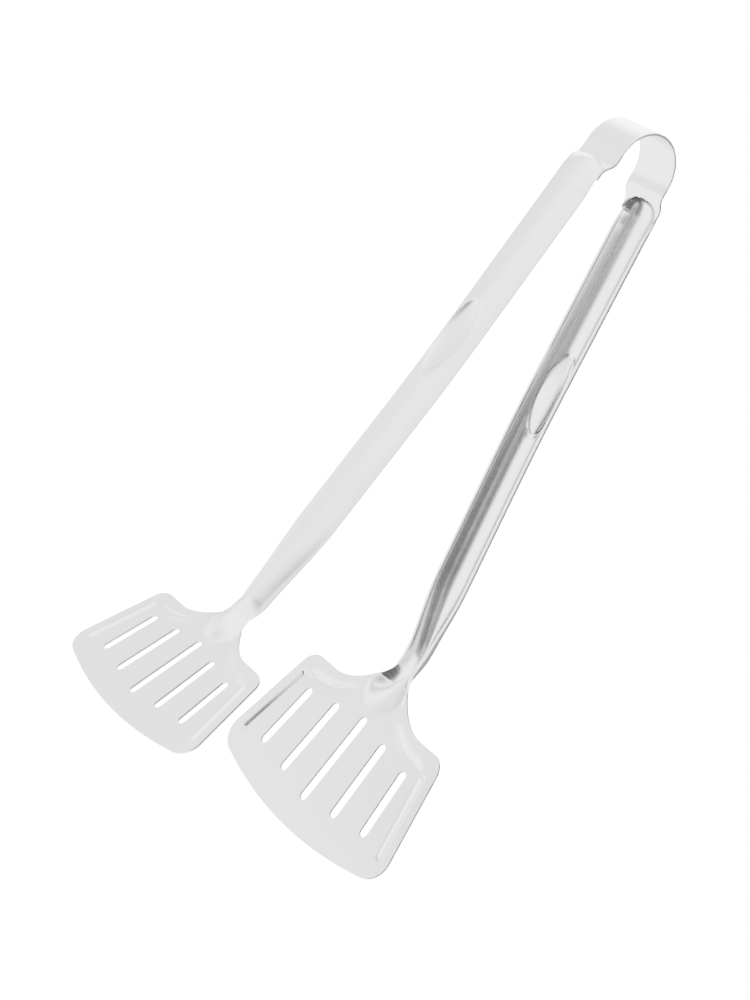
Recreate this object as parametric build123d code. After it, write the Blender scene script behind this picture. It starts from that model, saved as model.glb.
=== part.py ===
from build123d import *
import math
import os

# Spring loaded turner tongs: a bow spring joins two channel handles that end in slotted blades.
# Modelled about the bow's centre, which is the hinge axis: X is the opening between the arms,
# Y points towards the bow and Z runs across the strip. At the end everything is moved so that the
# origin is the bottom centre of the whole object. Millimetres and degrees.

# Sheet and bow
sheet = 1.1              # steel thickness everywhere
strip_width = 20.0       # flat strip of the bow and the tangs
bow_radius = 15.0        # to the middle of the sheet

# Tang: the flat strip steps outwards, and the channel starts in it with a rounded end
tang_straight = 2.2
jog_angle = 50.0
jog_radius = 5.4
tang_run_in = 3.0        # straight part between the step and the handle
cap_length = 8.0

# Handle: half-round channel, outside sizes
channel_width = 18.6
channel_depth = 5.4
upper_slope = 6.1        # lean of the handle above and below the thumb rest
lower_slope = 8.8
upper_length = 91.0
lower_length = 66.0
thumb_rest_position = 76.0             # middle of the thumb rest, from the handle's upper end
thumb_rest_length = 32.0
thumb_rest_width = 12.0
thumb_rest_depth = 2.4

# Neck: narrows, bends to the blade's angle, then flares into the blade
half_opening = 11.2      # each arm's angle from closed, at rest
blade_bend = 21.5        # both blades are turned the same way by this, so that they close flat
small_neck = (37.5, 15.0)              # straight part and bend radius, for the small blade
large_neck = (28.0, 34.5)              # the same for the large blade
neck_flare = 6.0
neck_width = 11.2
neck_depth = 6.4
neck_mouth_width = 14.2
neck_mouth_depth = 5.4

# Blade sizes are those of the small blade, from the plane where the neck ends
small_blade = 1.0
large_blade = 1.3
shoulder_half_width = 34.2
shoulder_drop = 8.0
shoulder_flat_start = 22.0             # half width where the hollow shoulder runs out level
shoulder_hollow = (10.5, 5.5)          # point that pulls the hollow shoulder's curve inwards
shoulder_corner_radius = 4.5
tip_half_width = 42.9
tip_corner_drop = 46.6
tip_middle_drop = 53.3
tip_corner_radius = 7.0
dome_length = 10.4
slot_width = 3.0
slot_pitch = 13.0
slot_fan = 3.0           # degrees between neighbouring slots
slot_lengths = (31.0, 26.4, 22.4)      # middle, next and outer slots
slot_middle_drop = 28.8
bead_inset = 4.3         # middle of the stiffening bead, from the blade's side
bead_start = 15.0
bead_end = 41.0
bead_width = 2.8
bead_height = 0.7

TOOL = 200.0             # size of the blocks that trim things


def heading(angle):
    """Unit vector down an arm that leans outwards by angle."""
    return Vector(math.sin(math.radians(angle)), -math.cos(math.radians(angle)))


def outward(angle):
    """Unit vector square to that, away from the other arm."""
    return Vector(math.cos(math.radians(angle)), math.sin(math.radians(angle)))


def section_plane(point, angle):
    """Plane square to the arm: its X is across the strip, its Y outwards, its Z back up the arm."""
    return Plane(origin=point, x_dir=(0, 0, 1), z_dir=-heading(angle))


def arch(plane, width, depth):
    """Half-ellipse ring of sheet with its two feet on the plane's X axis."""
    a, b = width / 2, depth
    with BuildSketch(plane) as sketch:
        with BuildLine():
            outer = EllipticalCenterArc((0, 0), a, b, arc_size=180)
            inner = EllipticalCenterArc((0, 0), a - sheet, b - sheet, arc_size=180)
            Line(outer @ 0, inner @ 0)
            Line(outer @ 1, inner @ 1)
        make_face()
    return sketch.sketch


def filled_arch(plane, width, depth):
    """The same outer shape, filled."""
    with BuildSketch(plane) as sketch:
        with BuildLine():
            outer = EllipticalCenterArc((0, 0), width / 2, depth, arc_size=180)
            Line(outer @ 0, outer @ 1)
        make_face()
    return sketch.sketch


def ellipsoid(plane, half_across, half_out, half_along):
    """Ellipsoid about a section plane's origin."""
    return plane * scale(Sphere(1.0), by=(half_across, half_out, half_along))


def largest(shape):
    """The main solid of a shape, without any sliver that a cut leaves."""
    return max(shape.solids(), key=lambda solid: solid.volume)


# --- Reference points of the right arm, on the inner face of the sheet ----------------------------
bow_end = Vector(bow_radius, 0)
with BuildLine() as tang_path:
    straight = Line(bow_end, bow_end + heading(0) * tang_straight)
    out_bend = JernArc(straight @ 1, heading(0), jog_radius, jog_angle)
    back_bend = JernArc(out_bend @ 1, out_bend % 1, jog_radius, upper_slope - jog_angle)
    Line(back_bend @ 1, (back_bend @ 1) + heading(upper_slope) * tang_run_in)
handle_top = (tang_path.line @ 1) - outward(upper_slope) * (sheet / 2)
handle_middle = handle_top + heading(upper_slope) * upper_length
handle_end = handle_middle + heading(lower_slope) * lower_length


def neck_length(neck, blade_angle):
    """Length of the neck from the handle to the end of its bend."""
    straight, radius = neck
    return straight + radius * math.radians(abs(blade_angle - lower_slope))


def neck_station(distance, neck, blade_angle):
    """Point and lean of the neck's edge line: straight, then an arc, then straight again."""
    straight, radius = neck
    turn = blade_angle - lower_slope
    bent = min(max(distance - straight, 0.0) / math.radians(abs(turn)) / radius, 1.0)
    chord = 2 * radius * math.sin(math.radians(abs(turn) * bent / 2))
    rest = max(distance - neck_length(neck, blade_angle), 0.0)
    bend_start = handle_end + heading(lower_slope) * min(distance, straight)
    point = bend_start + heading(lower_slope + turn * bent / 2) * chord + heading(blade_angle) * rest
    return point, lower_slope + turn * bent


def make_bow():
    """Half ring of strip about the hinge axis."""
    ring = Cylinder(bow_radius + sheet / 2, strip_width) - Cylinder(bow_radius - sheet / 2, strip_width)
    upper_half = Box(TOOL, TOOL, TOOL, align=(Align.CENTER, Align.MIN, Align.CENTER))
    return largest(ring & upper_half)


def make_tang():
    """Strip that steps outwards, with the rounded upper end of the channel pressed in it."""
    with BuildPart() as strip:
        with BuildSketch(Plane(origin=bow_end, x_dir=(0, 0, 1), z_dir=heading(0))):
            Rectangle(strip_width, sheet)
        sweep(path=tang_path.wire())
    with BuildPart() as outside:
        with BuildSketch():
            with BuildLine():
                add(tang_path.line)
                far_top = bow_end + outward(0) * 3 * channel_depth
                far_end = (tang_path.line @ 1) + outward(upper_slope) * 3 * channel_depth
                Polyline(tang_path.line @ 0, far_top, far_end, tang_path.line @ 1)
            make_face()
        extrude(amount=strip_width / 2, both=True)
    plane = section_plane(handle_top, upper_slope)
    dome = ellipsoid(plane, channel_width / 2, channel_depth, cap_length) & outside.part
    hollow = ellipsoid(plane, channel_width / 2 - sheet, channel_depth - sheet, cap_length - sheet)
    with BuildPart() as taper:
        with BuildSketch(Plane.YZ):
            wide, narrow = strip_width / 2, channel_width / 2
            top, step, low = 0.0, -tang_straight, handle_top.Y
            half = [(top, wide), (step, wide), (low + tang_run_in, narrow), (low - tang_run_in, narrow)]
            Polygon(*half, *[(y, -z) for y, z in reversed(half)], align=None)
        extrude(amount=TOOL, both=True)
    return largest((strip.part + dome - hollow) & taper.part)


def make_handle():
    """Half-round channel with a thumb rest pressed into its back."""
    planes = [
        section_plane(handle_top, upper_slope),
        section_plane(handle_middle, (upper_slope + lower_slope) / 2),
        section_plane(handle_end, lower_slope),
    ]
    channel = loft([arch(plane, channel_width, channel_depth) for plane in planes])
    envelope = loft([filled_arch(plane, channel_width, channel_depth) for plane in planes])
    middle = handle_top + heading(upper_slope) * thumb_rest_position + outward(upper_slope) * channel_depth
    rest_plane = section_plane(middle, upper_slope)
    dish = ellipsoid(rest_plane, thumb_rest_width / 2, thumb_rest_depth, thumb_rest_length / 2)
    shell = ellipsoid(
        rest_plane, thumb_rest_width / 2 + sheet, thumb_rest_depth + sheet, thumb_rest_length / 2 + sheet
    )
    return largest((channel + (shell & envelope)) - dish)


def make_neck(neck, blade_angle, blade_scale):
    """Channel that narrows and bends to the blade's angle, then flares out to meet the blade."""
    taper = neck_length(neck, blade_angle)
    sections = []
    for share in (0.0, 0.2, 0.4, 0.6, 0.8, 0.9, 1.0):
        point, lean = neck_station(share * taper, neck, blade_angle)
        ease = (1 - math.cos(math.pi * share)) / 2
        width = channel_width + (neck_width - channel_width) * ease
        depth = channel_depth + (neck_depth - channel_depth) * ease
        sections.append(arch(section_plane(point, lean), width, depth))
    narrow = loft(sections)
    mouth, lean = neck_station(taper + neck_flare * blade_scale, neck, blade_angle)
    mouth_section = arch(section_plane(mouth, lean), neck_mouth_width * blade_scale, neck_mouth_depth)
    flare = loft([sections[-1], mouth_section])
    return largest(narrow + flare)


def blade_outline(blade_scale):
    """Outline from the neck's mouth, round the shoulders, down the sides and along the curved tip."""
    k = blade_scale
    mouth = neck_mouth_width / 2 * k
    hollow_end = (shoulder_flat_start * k, shoulder_drop * k)
    shoulder = (shoulder_half_width * k, shoulder_drop * k)
    corner = (tip_half_width * k, tip_corner_drop * k)
    with BuildSketch() as outline:
        with BuildLine():
            hollow = Bezier((mouth, 0), (shoulder_hollow[0] * k, shoulder_hollow[1] * k), hollow_end)
            level = Line(hollow_end, shoulder)
            side = Line(shoulder, corner)
            tip = ThreePointArc(corner, (0, tip_middle_drop * k), (-corner[0], corner[1]))
            for edge in (hollow, level, side):
                mirror(edge, about=Plane.YZ)
            Line((mouth, 0), (-mouth, 0))
        make_face()
        corners = outline.vertices().filter_by(lambda v: abs(v.X) > shoulder_flat_start * k + 1)
        fillet([v for v in corners if v.Y < 2 * shoulder_drop * k], shoulder_corner_radius * k)
        lower = outline.vertices().filter_by(lambda v: abs(abs(v.X) - corner[0]) < 0.01)
        fillet(lower, tip_corner_radius * k)
    return outline.sketch


def slot_shapes(blade_scale):
    """Five slots that fan out, the longest in the middle."""
    k = blade_scale
    slots = Sketch()
    for number in range(-2, 3):
        place = Pos(number * slot_pitch * k, slot_middle_drop * k) * Rot(0, 0, 90 - number * slot_fan)
        slots += place * SlotOverall(slot_lengths[abs(number)] * k, slot_width * k)
    return slots


def bead_shapes(blade_scale, width):
    """A straight stiffening bead beside each side of the blade."""
    k = blade_scale
    rise = tip_corner_drop - shoulder_drop
    flare = math.degrees(math.atan2(tip_half_width - shoulder_half_width, rise))
    middle = (bead_start + bead_end) / 2
    side_x = shoulder_half_width + (tip_half_width - shoulder_half_width) * (middle - shoulder_drop) / rise
    beads = Sketch()
    for hand in (-1, 1):
        place = Pos(hand * (side_x - bead_inset) * k, middle * k) * Rot(0, 0, 90 - hand * flare)
        beads += place * SlotOverall((bead_end - bead_start) * k, width)
    return beads


def make_blade(neck, blade_angle, blade_scale):
    """Slotted plate with side beads, and the dome where the neck's channel runs out."""
    neck_end = neck_length(neck, blade_angle) + neck_flare * blade_scale
    mouth, lean = neck_station(neck_end, neck, blade_angle)
    face = Plane(origin=mouth, x_dir=(0, 0, 1), z_dir=outward(lean))
    plate = extrude(face * blade_outline(blade_scale), sheet, dir=outward(lean))
    half_width = neck_mouth_width * blade_scale / 2
    half_length = dome_length * blade_scale
    start = section_plane(mouth, lean)
    quarter = start * Box(TOOL, TOOL, TOOL, align=(Align.CENTER, Align.MIN, Align.MAX))
    dome = ellipsoid(start, half_width, neck_mouth_depth, half_length) & quarter
    hollow = ellipsoid(start, half_width - sheet, neck_mouth_depth - sheet, half_length - sheet)
    top = Plane(origin=mouth + outward(lean) * sheet, x_dir=(0, 0, 1), z_dir=outward(lean))
    ridge = extrude(top * bead_shapes(blade_scale, bead_width), bead_height, dir=outward(lean))
    groove = extrude(face * bead_shapes(blade_scale, bead_width - sheet), bead_height, dir=outward(lean))
    slots = extrude(face * slot_shapes(blade_scale), sheet, dir=outward(lean))
    return largest(plate + dome + ridge - hollow - groove - slots)


def make_arm(name, *neck_and_blade):
    """The four nodes of one arm, made as a right arm."""
    return {
        name + "_tang": make_tang(),
        name + "_handle": make_handle(),
        name + "_neck": make_neck(*neck_and_blade),
        name + "_blade": make_blade(*neck_and_blade),
    }


nodes = {"spring_bow": make_bow()}
nodes.update(make_arm("right", large_neck, half_opening - blade_bend, large_blade))
left_arm = make_arm("left", small_neck, half_opening + blade_bend, small_blade)
nodes.update({name: mirror(solid, about=Plane.YZ) for name, solid in left_arm.items()})

box = Compound(children=[Part() + solid for solid in nodes.values()]).bounding_box()
origin = Vector((box.min.X + box.max.X) / 2, (box.min.Y + box.max.Y) / 2, box.min.Z)

os.makedirs("parts", exist_ok=True)
for name, solid in nodes.items():
    export_step(Pos(*-origin) * solid, f"parts/{name}.step")
print("hinge axis at", *-origin)
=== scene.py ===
import bpy
import numpy as np
from mathutils import Matrix, Vector


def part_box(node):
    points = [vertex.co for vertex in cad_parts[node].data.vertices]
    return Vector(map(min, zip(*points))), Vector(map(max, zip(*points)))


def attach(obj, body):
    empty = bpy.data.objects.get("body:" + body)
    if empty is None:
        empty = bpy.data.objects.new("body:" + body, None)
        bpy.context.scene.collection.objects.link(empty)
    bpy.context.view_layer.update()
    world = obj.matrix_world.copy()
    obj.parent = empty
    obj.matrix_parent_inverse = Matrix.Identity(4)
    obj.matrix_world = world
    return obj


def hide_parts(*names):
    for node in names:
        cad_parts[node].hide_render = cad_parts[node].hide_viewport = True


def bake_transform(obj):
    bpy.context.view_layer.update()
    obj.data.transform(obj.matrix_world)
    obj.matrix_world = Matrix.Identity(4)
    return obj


# Turner tongs in polished and brushed stainless steel. Each arm is one pressed sheet that runs from the
# bow through the flat tang, the half-round handle and the neck into a slotted blade, and the bow is a
# strip that bends between the arms. Sizes below are in millimetres about the bow's centre: X across the
# opening, Y towards the bow, Z across the strip. They are moved to the frame and to metres at the end.

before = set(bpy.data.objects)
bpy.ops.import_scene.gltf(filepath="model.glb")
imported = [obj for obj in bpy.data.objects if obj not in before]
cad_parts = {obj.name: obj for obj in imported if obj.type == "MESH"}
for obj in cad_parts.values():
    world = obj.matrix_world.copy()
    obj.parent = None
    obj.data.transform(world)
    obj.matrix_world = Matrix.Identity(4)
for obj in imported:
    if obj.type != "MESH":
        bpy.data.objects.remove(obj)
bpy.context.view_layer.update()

SHEET = 1.1
STRIP = 20.0
BOW_RADIUS = 15.0
TANG = (2.2, 50.0, 5.4, 3.0)           # straight, step angle, step radius, run in to the handle
CAP = 8.0
CHANNEL = (9.3, 5.4)                   # half width and depth, outside
SLOPES = (6.1, 8.8)
HANDLE = (91.0, 66.0)
THUMB = (76.0, 16.0, 6.0, 2.4)         # place along the handle, half length, half width, depth
NECK = (5.6, 6.4)                      # half width and depth at the narrowest
NECK_FLARE = 6.0
MOUTH = (7.1, 5.4)
DOME = (11.6, 2.2, 5.0)                # length, how far it spreads sideways, and over what length
SHOULDER = (34.2, 8.0, 22.0, 4.5)      # half width, drop, where the hollow starts, corner radius
TIP = (42.9, 46.6, 53.3, 7.0)          # half width, corner drop, middle drop, corner radius
SLOTS = (13.0, 28.8, 3.0, 3.0)         # pitch, middle drop, width, fan in degrees
SLOT_LENGTHS = (31.0, 26.4, 22.4)
BEAD = (4.3, 15.0, 41.0, 1.5, 0.7)     # inset from the side, start, end, half width, height
SMALL = dict(side=-1, scale=1.0, straight=37.5, radius=15.0, lean=32.7)
LARGE = dict(side=1, scale=1.3, straight=28.0, radius=34.5, lean=-10.3)

bow_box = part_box("spring_bow")
CENTRE = (np.array(bow_box[0]) + np.array(bow_box[1])) / 2
CENTRE[1] = bow_box[0][1]


def to_frame(points):
    """Millimetres about the bow's centre, as metres in the frame."""
    return np.asarray(points) / 1000.0 + CENTRE


def smooth(t):
    """0 below 0, 1 above 1, and the cubic 3t^2 - 2t^3 between."""
    t = np.clip(t, 0.0, 1.0)
    return t * t * (3.0 - 2.0 * t)


def side_line(s):
    """Half width of the blade's straight side at drop s: linear from the shoulder to the tip's corner."""
    return SHOULDER[0] + (s - SHOULDER[1]) * (TIP[0] - SHOULDER[0]) / (TIP[1] - SHOULDER[1])


def corner(e, radius):
    """Drop of a rounded corner at distance e from the side: r - sqrt(r^2 - (r - e)^2) inside the radius."""
    inside = np.clip(radius - e, 0.0, radius)
    return radius - np.sqrt(np.maximum(radius**2 - inside**2, 0.0))


def shoulder_line(x):
    """Drop of the blade's upper edge at x: a parabola in the hollow, then level."""
    hollow = np.clip((SHOULDER[2] - x) / (SHOULDER[2] - MOUTH[0]), 0.0, 1.0)
    return SHOULDER[1] * (1.0 - hollow**2)


def tip_line(x):
    """Drop of the blade's lower edge at x: a circle through the middle and both corners."""
    rise = TIP[2] - TIP[1]
    radius = (TIP[0] ** 2 + rise**2) / (2 * rise)
    return TIP[2] - (radius - np.sqrt(radius**2 - x**2))


def half_blade():
    """Key rows of half a blade, as x and s for each column: upper edge, slots' tops, slots' bottoms and
    lower edge. Columns follow the slots' sides and are spaced as sines inside a slot, so that its ends come
    out round. Also gives each cell's slot number, or -1 on the land between."""
    pitch, middle, width, fan = SLOTS
    r = width / 2
    turn = np.sin(np.radians(np.linspace(-90, 90, 15)))
    start = np.arccos(r / MOUTH[0])
    groups = [
        ("slot", 0, r * turn[7:]),
        ("land", 0, MOUTH[0] * np.cos(np.linspace(start, 0.0, 25))),
    ]
    inset = BEAD[0] + BEAD[3] + 0.5
    axis = [number * pitch - np.tan(np.radians(number * fan)) * (middle - 7.5) for number in range(3)]
    edges = [MOUTH[0], axis[1] - r, axis[1] + r, axis[2] - r, axis[2] + r]
    groups += [
        ("land", 0, np.linspace(edges[0], edges[1], 7)),
        ("slot", 1, axis[1] + r * turn),
        ("land", 1, np.linspace(edges[2], edges[3], 13)),
        ("slot", 2, axis[2] + r * turn),
        ("land", 2, np.linspace(edges[4], SHOULDER[0] - inset, 7)),
    ]
    near_side = 1 - 0.38 * (1 - np.linspace(0, 1, 11)[1:]) ** 2
    rim = inset * (1.0 - np.concatenate([np.linspace(0, 0.62, 15), near_side]))
    x_top, cells = [groups[0][2][0]], []
    for kind, number, values in groups:
        x_top.extend(values[1:])
        cells += [number if kind == "slot" else -1] * (len(values) - 1)
    x_top = np.array(x_top)
    cells += [-1] * (len(rim) - 1)
    e = np.concatenate([np.full(len(x_top), np.inf), rim[1:]])
    x_top = np.concatenate([x_top, np.zeros(len(rim) - 1)])
    s_top = np.where(np.isinf(e), shoulder_line(x_top), SHOULDER[1] + corner(e, SHOULDER[3]))
    x_top = np.where(np.isinf(e), x_top, side_line(s_top) - e)

    def slot_end(number, sign):
        """Semicircle at a slot's end: centre + r (across sin a + along cos a)."""
        angle = np.radians(number * fan)
        along = np.array([np.sin(angle), np.cos(angle)]) * sign
        square = np.array([np.cos(angle), -np.sin(angle)])
        centre = np.array([number * pitch, middle]) + along * (SLOT_LENGTHS[number] / 2 - r)
        t = turn if number else turn[7:]
        return centre + r * (t[:, None] * square + np.sqrt(1 - t[:, None] ** 2) * along)

    def slot_row(sign, side_drop):
        """Row through the slots' ends, straight between them and out to the side."""
        known_x = [values for kind, _, values in groups if kind == "slot"]
        known = [slot_end(number, sign) for number in range(3)]
        rim_x = side_line(side_drop) - rim
        known_x.append(np.concatenate([[SHOULDER[0] - inset], x_top[-len(rim) + 1:]]))
        known.append(np.column_stack([rim_x, np.full(len(rim), side_drop)]))
        keys = np.concatenate(known_x)
        values = np.concatenate(known)
        keys, first = np.unique(np.round(keys, 9), return_index=True)
        return np.interp(x_top, keys, values[first, 0]), np.interp(x_top, keys, values[first, 1])

    upper = slot_row(-1, middle - SLOT_LENGTHS[2] / 2 + 1.0)
    lower = slot_row(1, middle + SLOT_LENGTHS[2] / 2 - 2.0)
    share = lower[0] / side_line(lower[1])
    share[-1] = 1.0
    s_tip = tip_line(np.minimum(lower[0], TIP[0]))
    for _ in range(12):
        x_tip = np.where(np.isinf(e), share * side_line(s_tip), side_line(s_tip) - e)
        s_tip = tip_line(np.minimum(x_tip, TIP[0] - 0.1)) - corner(side_line(s_tip) - x_tip, TIP[3])
    return [(x_top, s_top), upper, lower, (x_tip, s_tip)], np.array(cells)


def blade_grid():
    """Whole blade: rows are straight between the key rows, and the left half mirrors the right."""
    keys, cells = half_blade()
    steps = [np.linspace(0, 1, 41)[:-1], np.linspace(0, 1, 41)[:-1], np.linspace(0, 1, 19)]
    rows_x, rows_s, open_rows = [], [], []
    for part in range(3):
        (xa, sa), (xb, sb) = keys[part], keys[part + 1]
        for t in steps[part]:
            rows_x.append(xa + (xb - xa) * t)
            rows_s.append(sa + (sb - sa) * t)
            open_rows.append(part == 1)
    x, s = np.array(rows_x), np.array(rows_s)
    x = np.hstack([-x[:, :0:-1], x])
    s = np.hstack([s[:, :0:-1], s])
    in_slot = np.concatenate([cells[::-1], cells]) >= 0
    keep = ~(np.array(open_rows)[:-1, None] & in_slot[None, :])
    return x, s, keep


def arm_path(arm):
    """Inner face of the sheet as functions of the length u along it: x, y and lean. The lean is a chain of
    straight runs and arcs, and the place is its running sum of sines and cosines."""
    straight, angle, radius, run_in = TANG
    turn = np.radians
    chain = [
        (straight, 0.0, 0.0),
        (radius * turn(angle), 0.0, angle),
        (radius * turn(angle - SLOPES[0]), angle, SLOPES[0]),
        (run_in, SLOPES[0], SLOPES[0]),
        (HANDLE[0] - 20.0, SLOPES[0], SLOPES[0]),
        (40.0, SLOPES[0], SLOPES[1]),
        (HANDLE[1] - 20.0, SLOPES[1], SLOPES[1]),
        (arm["straight"], SLOPES[1], SLOPES[1]),
        (arm["radius"] * abs(turn(arm["lean"] - SLOPES[1])), SLOPES[1], arm["lean"]),
        (NECK_FLARE * arm["scale"], arm["lean"], arm["lean"]),
    ]
    knots = np.cumsum([0.0] + [length for length, _, _ in chain])
    u = np.arange(0.0, knots[-1] + 0.05, 0.05)
    u[-1] = knots[-1]
    piece = np.clip(np.searchsorted(knots, u, side="right") - 1, 0, len(chain) - 1)
    first = np.array([a for _, a, _ in chain])[piece]
    last = np.array([b for _, _, b in chain])[piece]
    lean = np.radians(first + (last - first) * (u - knots[piece]) / np.diff(knots)[piece])
    step = np.diff(u)
    x = BOW_RADIUS + np.concatenate([[0], np.cumsum(step * (np.sin(lean[1:]) + np.sin(lean[:-1])) / 2)])
    y = -np.concatenate([[0], np.cumsum(step * (np.cos(lean[1:]) + np.cos(lean[:-1])) / 2)])
    x = x - np.cos(lean) * SHEET / 2
    y = y - np.sin(lean) * SHEET / 2
    return u, x, y, lean, knots


def thumb_rest(u, w):
    """Oval dish: depth times (1 - r^2)^0.7, with r the distance from its middle in half lengths and half
    widths, and a low lip with a bell-curve section just outside the rim."""
    r2 = (u / THUMB[1]) ** 2 + (w / THUMB[2]) ** 2
    dish = THUMB[3] * np.clip(1.0 - r2, 0.0, None) ** 0.7
    lip = 0.25 * np.exp(-(((np.sqrt(r2) - 1.06) / 0.07) ** 2))
    return lip - dish


def arm_heights(u, across, knots, arm):
    """Outer face of the sheet above its inner face line, and the half width, along the arm. The section is
    base + (depth - base) (1 - t^2)^p with t the share of the half width: flat on the tang, an ellipse along
    the handle, and softer feet where it meets the blade."""
    top, end, bend_end, mouth = knots[4], knots[7], knots[9], knots[10]
    k = arm["scale"]
    taper = smooth((u - TANG[0]) / (top + TANG[3] - TANG[0]))
    ease = (1 - np.cos(np.pi * np.clip((u - end) / (bend_end - end), 0, 1))) / 2
    flare = np.clip((u - bend_end) / (mouth - bend_end), 0, 1)
    open_out = 0.92 * (mouth - bend_end) / (MOUTH[0] * k - NECK[0])
    half = STRIP / 2 + (CHANNEL[0] - STRIP / 2) * taper + (NECK[0] - CHANNEL[0]) * ease
    half = half + (MOUTH[0] * k - NECK[0]) * flare**open_out
    depth = CHANNEL[1] + (NECK[1] - CHANNEL[1]) * ease + (MOUTH[1] - NECK[1]) * smooth(flare)
    base = SHEET * (1 - smooth((u - top + 4.0) / 13.0)) + SHEET * smooth((u - mouth + 13.0) / 12.0)
    power = 0.5 + 0.12 * (1 - smooth((u - top) / 6.0)) + 0.8 * smooth((u - mouth + 14.0) / 14.0)
    w = half[:, None] * across[None, :]
    q = np.clip((top - u) / CAP, 0, None)[:, None]
    reach = np.where(u < top, CHANNEL[0], half)[:, None]
    body = np.clip(1.0 - (w / reach) ** 2 - q**2, 0.0, None) ** power[:, None]
    height = base[:, None] + (depth - base)[:, None] * body
    height = height + thumb_rest(u[:, None] - top - THUMB[0], w) * (u > top)[:, None]
    return w, height


def blade_heights(x, s, k):
    """Outer face of the blade above its inner face, at x and s in the small blade's millimetres. The sheet
    carries a dome, (1 - (x/a)^2 - (s/b)^2)^p high with a growing over its first millimetres, a bead with a
    cosine section beside each side, and a shallow ridge, a bell curve across a line that follows the
    shoulder into the bead."""
    a = np.abs(x)
    spread = MOUTH[0] + DOME[1] * smooth(s / DOME[2])
    dome = (MOUTH[1] - SHEET) * np.clip(1 - (x / spread) ** 2 - (s / DOME[0]) ** 2, 0, None) ** 1.3
    inset, start, end, half, height = BEAD
    off = np.clip(np.abs(side_line(s) - a - inset) / half, 0, 1)
    run = smooth((s - start + 0.6) / 1.6) * smooth((end + 0.6 - s) / 1.6)
    bead = height * k * 0.5 * (1 + np.cos(np.pi * off)) * run
    line = 9.2 + 4.4 * smooth((a - 9.5) / 12.0) + 0.13 * (a - 21.5) * (a > 21.5)
    ridge = np.exp(-(((s - line) / 1.5) ** 2)) * smooth((a - 8.0) / 10.0) * smooth((30.8 - a) / 4.5)
    return SHEET + dome + bead + 0.5 * ridge * k


def quads(index):
    """Four corners of each cell of a grid of vertex numbers."""
    return np.stack([index[:-1, :-1], index[1:, :-1], index[1:, 1:], index[:-1, 1:]], axis=-1)


def arm_sheet(name, arm):
    """One arm as a single sheet: its grid runs from the bow's end to the mouth of the blade, and goes on in
    the blade's own grid. The sheet gets its thickness inwards, and its cut edges are lightly broken."""
    k, side = arm["scale"], arm["side"]
    path_u, path_x, path_y, path_lean, knots = arm_path(arm)
    bx, bs, keep = blade_grid()
    inner_columns = np.where(np.abs(bx[0]) <= MOUTH[0] + 1e-6)[0]
    across = bx[0][inner_columns] / MOUTH[0]
    rows = [
        np.linspace(0, knots[4], 49)[:-1],
        np.linspace(knots[4], knots[7], 231)[:-1],
        np.linspace(knots[7], knots[10], 101),
    ]
    u = np.concatenate(rows)
    w, height = arm_heights(u, across, knots, arm)
    px, py, lean = (np.interp(u, path_u, values)[:, None] for values in (path_x, path_y, path_lean))
    arm_points = np.stack([px + np.cos(lean) * height, py + np.sin(lean) * height, w], axis=-1)
    h = blade_heights(bx, bs, k)
    ex, ey, angle = path_x[-1], path_y[-1], path_lean[-1]
    x = ex + np.sin(angle) * bs * k + np.cos(angle) * h
    y = ey - np.cos(angle) * bs * k + np.sin(angle) * h
    blade_points = np.stack([x, y, bx * k], axis=-1)

    rows_a, columns_a = arm_points.shape[:2]
    rows_b, columns_b = bx.shape
    index_a = np.arange(rows_a * columns_a).reshape(rows_a, columns_a)
    index_b = np.arange(rows_b * columns_b).reshape(rows_b, columns_b) + index_a.size
    index_b[0, inner_columns] = index_a[-1]
    faces = np.concatenate([quads(index_a).reshape(-1, 4), quads(index_b)[keep]])
    points = np.concatenate([arm_points.reshape(-1, 3), blade_points.reshape(-1, 3)])
    used = np.unique(faces)
    lookup = np.zeros(len(points), int)
    lookup[used] = np.arange(len(used))
    points, faces = points[used], lookup[faces]
    points[:, 0] *= side
    if side > 0:
        faces = faces[:, ::-1]
    return finished_sheet(name, to_frame(points), faces)


def bow_strip():
    """Bow: a half circle of strip, swept from the left arm's end to the right arm's."""
    angle = np.linspace(np.pi, 0, 121)
    across = np.linspace(-STRIP / 2, STRIP / 2, 21)
    radius = BOW_RADIUS + SHEET / 2
    a, w = np.meshgrid(angle, across, indexing="ij")
    points = np.stack([radius * np.cos(a), radius * np.sin(a), w], axis=-1).reshape(-1, 3)
    grid = np.arange(a.size).reshape(a.shape)
    return finished_sheet("bow_strip", to_frame(points), quads(grid).reshape(-1, 4)[:, ::-1])


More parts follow.
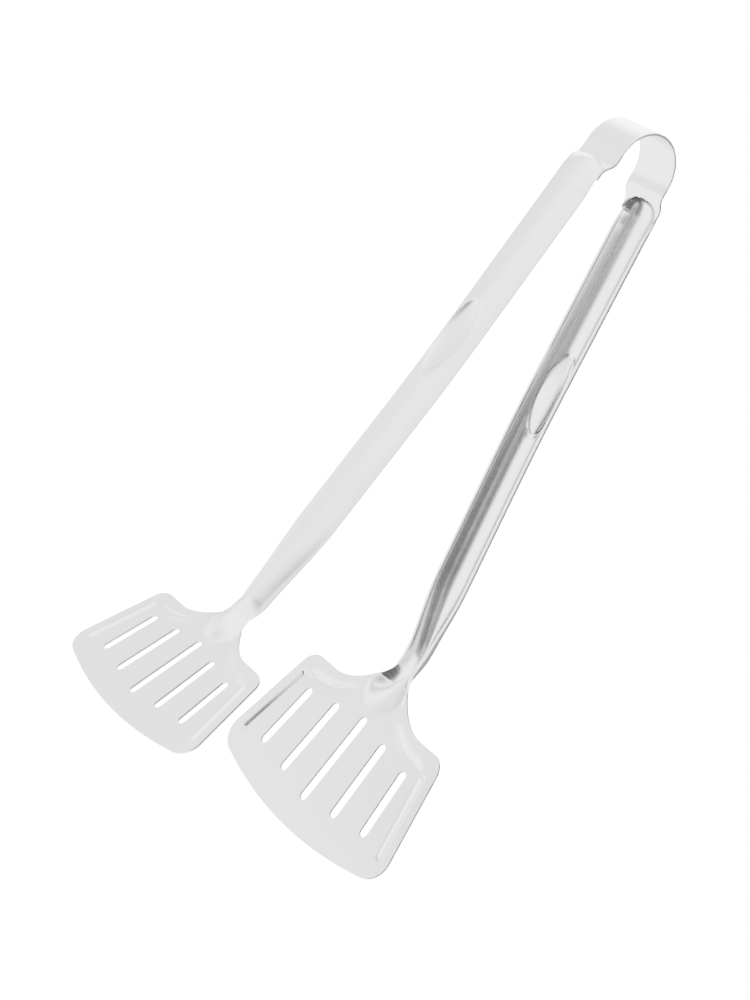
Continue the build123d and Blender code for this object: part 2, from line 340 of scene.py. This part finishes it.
def finished_sheet(name, points, faces):
    """Sheet with its thickness on the inner side and broken cut edges. Edges that meet the next piece, at
    the bow's ends, stay square so that no line shows there. Attribute inner is 1 on the inner face."""
    mesh = bpy.data.meshes.new(name)
    mesh.from_pydata(points.tolist(), [], faces.tolist())
    mesh.update()
    obj = bpy.data.objects.new(name, mesh)
    bpy.context.collection.objects.link(obj)
    wall = obj.modifiers.new("thickness", "SOLIDIFY")
    wall.thickness = SHEET / 1000.0
    wall.offset = -1.0
    graph = bpy.context.evaluated_depsgraph_get()
    solid = bpy.data.meshes.new_from_object(obj.evaluated_get(graph), depsgraph=graph)
    obj.modifiers.clear()
    obj.data = solid
    bpy.data.meshes.remove(mesh)
    solid.name = name
    count = len(solid.vertices)
    inner = np.zeros(count, dtype=np.float32)
    inner[len(points):] = 1.0
    solid.attributes.new("inner", "FLOAT", "POINT").data.foreach_set("value", inner)
    place = np.empty(count * 3)
    solid.vertices.foreach_get("co", place)
    place = place.reshape(-1, 3)
    ends = np.empty(len(solid.edges) * 2, dtype=np.int32)
    solid.edges.foreach_get("vertices", ends)
    ends = ends.reshape(-1, 2)
    solid.shade_smooth()
    solid.set_sharp_from_angle(angle=np.radians(50))
    sharp = np.zeros(len(solid.edges), dtype=bool)
    solid.attributes["sharp_edge"].data.foreach_get("value", sharp)
    along = place[ends][:, :, 1]
    at_bow = (np.abs(along - CENTRE[1]) < 3e-4).all(axis=1)
    weight = (sharp & ~at_bow).astype(np.float32)
    solid.attributes.new("bevel_weight_edge", "FLOAT", "EDGE").data.foreach_set("value", weight)
    edge = obj.modifiers.new("broken_edge", "BEVEL")
    edge.width = 0.00022
    edge.segments = 2
    edge.limit_method = "WEIGHT"
    edge.harden_normals = True
    return obj


def steel(name, outer_rough, inner_rough, grain):
    """Stainless steel: a fine lengthways brushing on the outside, a brighter polish inside."""
    material = bpy.data.materials.new(name)
    material.use_nodes = True
    nodes, links = material.node_tree.nodes, material.node_tree.links
    shader = nodes["Principled BSDF"]
    shader.inputs["Metallic"].default_value = 1.0
    place = nodes.new("ShaderNodeTexCoord")
    stretch = nodes.new("ShaderNodeMapping")
    stretch.inputs["Scale"].default_value = (900.0, 22.0, 900.0)
    lines = nodes.new("ShaderNodeTexNoise")
    lines.inputs["Scale"].default_value = 1.0
    lines.inputs["Detail"].default_value = 3.0
    cloud = nodes.new("ShaderNodeTexNoise")
    cloud.inputs["Scale"].default_value = 38.0
    cloud.inputs["Detail"].default_value = 3.0
    links.new(place.outputs["Object"], stretch.inputs["Vector"])
    links.new(stretch.outputs["Vector"], lines.inputs["Vector"])
    links.new(place.outputs["Object"], cloud.inputs["Vector"])
    tone = nodes.new("ShaderNodeMix")
    tone.data_type = "RGBA"
    tone.inputs["A"].default_value = (0.585, 0.585, 0.590, 1)
    tone.inputs["B"].default_value = (0.635, 0.635, 0.640, 1)
    links.new(cloud.outputs["Fac"], tone.inputs["Factor"])
    links.new(tone.outputs["Result"], shader.inputs["Base Color"])
    inner = nodes.new("ShaderNodeAttribute")
    inner.attribute_name = "inner"
    rough = nodes.new("ShaderNodeMapRange")
    rough.inputs["To Min"].default_value = outer_rough
    rough.inputs["To Max"].default_value = inner_rough
    links.new(inner.outputs["Fac"], rough.inputs["Value"])
    vary = nodes.new("ShaderNodeMath")
    vary.operation = "MULTIPLY_ADD"
    vary.inputs[1].default_value = grain
    links.new(lines.outputs["Fac"], vary.inputs[0])
    links.new(rough.outputs["Result"], vary.inputs[2])
    links.new(vary.outputs["Value"], shader.inputs["Roughness"])
    bump = nodes.new("ShaderNodeBump")
    bump.inputs["Strength"].default_value = 0.02
    bump.inputs["Distance"].default_value = 0.00002
    links.new(lines.outputs["Fac"], bump.inputs["Height"])
    links.new(bump.outputs["Normal"], shader.inputs["Normal"])
    return material


satin = steel("satin_steel", 0.36, 0.21, 0.04)
for body, arm in (("left_arm", SMALL), ("right_arm", LARGE)):
    piece = arm_sheet(body + "_sheet", arm)
    piece.data.materials.clear()
    piece.data.materials.append(satin)
    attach(piece, body)
    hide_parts(*[body.replace("arm", part) for part in ("tang", "handle", "neck", "blade")])
bow = bow_strip()
bow.data.materials.clear()
bow.data.materials.append(satin)
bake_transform(bow)
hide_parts("spring_bow")


# --- Studio -------------------------------------------------------------------------------------------
def plain(name, colour, strength=0.0):
    """Matt surface, with its own light if strength is given."""
    material = bpy.data.materials.new(name)
    material.use_nodes = True
    shader = material.node_tree.nodes["Principled BSDF"]
    shader.inputs["Base Color"].default_value = (*colour, 1)
    shader.inputs["Roughness"].default_value = 1.0
    shader.inputs["Specular IOR Level"].default_value = 0.0
    shader.inputs["Emission Color"].default_value = (*colour, 1)
    shader.inputs["Emission Strength"].default_value = strength
    return material


def card(name, centre, normal, width, height, material):
    """Flat rectangle that faces along normal, beside the object."""
    mesh = bpy.data.meshes.new(name)
    corners = np.array([[-1, -1, 0], [1, -1, 0], [1, 1, 0], [-1, 1, 0]]) * [width / 2, height / 2, 0]
    turn = np.array(Vector(normal).to_track_quat("Z", "Y").to_matrix())
    mesh.from_pydata((corners @ turn.T + np.array(centre)).tolist(), [], [(0, 1, 2, 3)])
    obj = bpy.data.objects.new(name, mesh)
    bpy.context.collection.objects.link(obj)
    mesh.materials.append(material)
    return obj


# The floor is only there for the camera: the steel mirrors the light all round instead.
floor = card("floor", (0, 0, -0.0005), (0, 0, 1), 6, 6, plain("pale_floor", (1, 1, 1), 20.0))
floor.visible_glossy = False
floor.visible_diffuse = False


def fade_in(nodes, links, source, towards, start, full):
    """0 where the direction's cosine with towards is below start, 1 above full, and smooth between."""
    aim = nodes.new("ShaderNodeVectorMath")
    aim.operation = "DOT_PRODUCT"
    aim.inputs[1].default_value = tuple(Vector(towards).normalized())
    links.new(source, aim.inputs[0])
    fade = nodes.new("ShaderNodeMapRange")
    fade.interpolation_type = "SMOOTHSTEP"
    fade.inputs["From Min"].default_value = start
    fade.inputs["From Max"].default_value = full
    links.new(aim.outputs["Value"], fade.inputs["Value"])
    return fade.outputs["Result"]


def sums(nodes, links, operation, first, second, third=None):
    """One step of arithmetic on two or three shader values."""
    step = nodes.new("ShaderNodeMath")
    step.operation = operation
    for socket, value in zip(step.inputs, (first, second, third)):
        if isinstance(value, (int, float)):
            socket.default_value = value
        elif value is not None:
            links.new(value, socket)
    return step.outputs["Value"]


def changed(nodes, links, level, share, amount):
    """Light level times (1 + amount times share)."""
    return sums(nodes, links, "MULTIPLY", level, sums(nodes, links, "MULTIPLY_ADD", share, amount, 1.0))


world = bpy.data.worlds.new("studio")
bpy.context.scene.world = world
world.use_nodes = True
nodes, links = world.node_tree.nodes, world.node_tree.links
nodes["Background"].inputs["Color"].default_value = (1, 1, 1, 1)
place = nodes.new("ShaderNodeTexCoord").outputs["Generated"]
right_side = fade_in(nodes, links, place, (1.0, -0.10, 0.12), 0.42, 0.60)
ahead = fade_in(nodes, links, place, (0.0, -1.0, 0.0), -0.05, 0.06)
not_below = fade_in(nodes, links, place, (0.0, 0.0, 1.0), -0.55, -0.40)
left = fade_in(nodes, links, place, (-1.0, 0.0, 0.0), -0.35, 0.0)
left_front = sums(nodes, links, "MULTIPLY", sums(nodes, links, "MULTIPLY", ahead, not_below), left)
sky = fade_in(nodes, links, place, (0.0, 0.0, 1.0), -0.62, -0.30)
lamp_frame = fade_in(nodes, links, place, (0.35, 0.62, -0.70), 0.81, 0.86)
lamp = fade_in(nodes, links, place, (0.35, 0.62, -0.70), 0.89, 0.93)

# Bright all round, brighter above and ahead, dark on the larger blade's side, dark ahead on the smaller
# blade's side, and a lamp in a dark frame that the bow mirrors.
level = changed(nodes, links, 1.0, right_side, -0.94)
level = changed(nodes, links, level, left_front, -0.98)
level = changed(nodes, links, level, sky, 0.6)
level = changed(nodes, links, level, ahead, 0.6)
level = changed(nodes, links, level, lamp_frame, -0.8)
level = sums(nodes, links, "MULTIPLY_ADD", lamp, 3.0, level)
links.new(sums(nodes, links, "MULTIPLY", level, 4.3), nodes["Background"].inputs["Strength"])

camera = bpy.data.cameras.new("camera")
camera.lens = 100.8
camera.sensor_fit = "HORIZONTAL"
camera.sensor_width = 36.0
camera.shift_x = -0.044
camera.shift_y = -0.0760
camera.clip_start = 0.01
view = bpy.data.objects.new("camera", camera)
bpy.context.collection.objects.link(view)
right = np.array([0.6265, 0.5237, 0.5774])
right /= np.linalg.norm(right)
back = np.cross(right, [-0.3348, 0.8497, -0.4074])
back /= np.linalg.norm(back)
stand = np.eye(4)
stand[:3, :3] = np.column_stack([right, np.cross(back, right), back])
stand[:3, 3] = to_frame((-564.4, -81.8, 545.8))
view.matrix_world = Matrix(stand.tolist())
bpy.context.scene.camera = view
